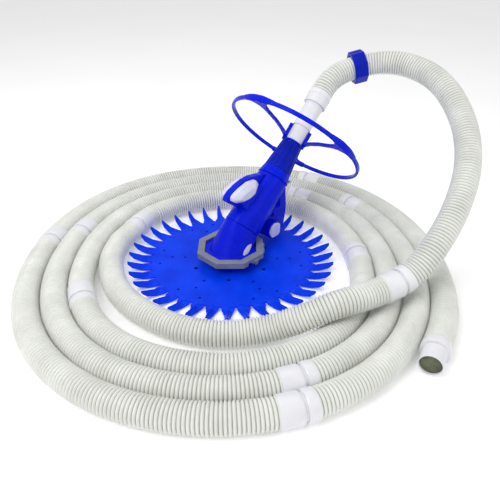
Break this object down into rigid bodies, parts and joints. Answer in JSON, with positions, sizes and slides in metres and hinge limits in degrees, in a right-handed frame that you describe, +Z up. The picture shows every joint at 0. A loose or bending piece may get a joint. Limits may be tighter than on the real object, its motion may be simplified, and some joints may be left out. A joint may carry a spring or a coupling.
{
  "type": "suction pool cleaner",
  "caption": "Leaning tube-bodied suction pool cleaner on a round finned disc, with float, keel, deflector wheel and a ribbed hose laid in a flat coil.",
  "frame": {"origin": "middle of the foot pad's water inlet, on the floor the foot rests on", "axes": "+Z up along the inlet's axis, +X the way the body leans"},
  "size_m": [0.8236, 0.8547, 0.3537],
  "materials": {
    "foot_rubber": "matte",
    "body_blue": "gloss",
    "nut_blue": "satin",
    "disc_blue": "satin",
    "ring_gray": "satin",
    "panel_white": "gloss",
    "works_white": "matte",
    "black_rubber": "matte",
    "foam": "matte",
    "ballast": "cast",
    "screw_steel": "brushed",
    "hose_ivory": "satin",
    "cuff_white": "satin"
  },
  "bodies": {
    "cleaner": {"foot_pad": "foot_rubber", "foot_shoe": "body_blue", "lower_body": "body_blue", "body_gasket": "black_rubber", "main_body": "body_blue", "body_collar": "body_blue", "collar_screws": "screw_steel", "cassette_cage": "works_white", "diaphragm": "black_rubber", "diaphragm_ring": "works_white", "float_housing": "body_blue", "float_panel_left": "panel_white", "float_panel_right": "panel_white", "float_foam": "foam", "keel_frame": "body_blue", "keel_screws": "screw_steel", "keel_cap_left": "panel_white", "keel_cap_right": "panel_white", "ballast_weight": "ballast", "boot_inset_left": "panel_white", "boot_inset_right": "panel_white", "pipe_seal": "black_rubber", "inner_pipe": "cuff_white", "outer_pipe": "cuff_white", "hose_cuff": "cuff_white", "lead_hose": "hose_ivory", "hose_weight_upper": "nut_blue", "hose_weight_lower": "nut_blue", "hose_weight_screws": "screw_steel", "lead_coupling": "cuff_white", "hose_coil": "hose_ivory", "tail_hose": "hose_ivory", "tail_cuff": "cuff_white"},
    "disc": {"finned_disc": "disc_blue"},
    "ring": {"locking_ring": "ring_gray"},
    "nut": {"hand_nut": "nut_blue"},
    "wheel": {"deflector_wheel": "body_blue"}
  },
  "joints": [
    {"name": "disc_spin", "type": "hinge", "parent": "cleaner", "child": "disc", "pos_m": [0, 0, 0.0065], "axis": [0, 0, 1], "continuous": true},
    {"name": "ring_turn", "type": "hinge", "parent": "cleaner", "child": "ring", "pos_m": [0, 0, 0.03], "axis": [0, 0, 1], "range_deg": [0, 20]},
    {"name": "nut_turn", "type": "hinge", "parent": "cleaner", "child": "nut", "pos_m": [0.15416, 0, 0.17389], "axis": [0.7193, 0, 0.6947], "range_deg": [0, 120]},
    {"name": "wheel_spin", "type": "hinge", "parent": "cleaner", "child": "wheel", "pos_m": [0.18343, 0, 0.20214], "axis": [0.7193, 0, 0.6947], "continuous": true}
  ]
}
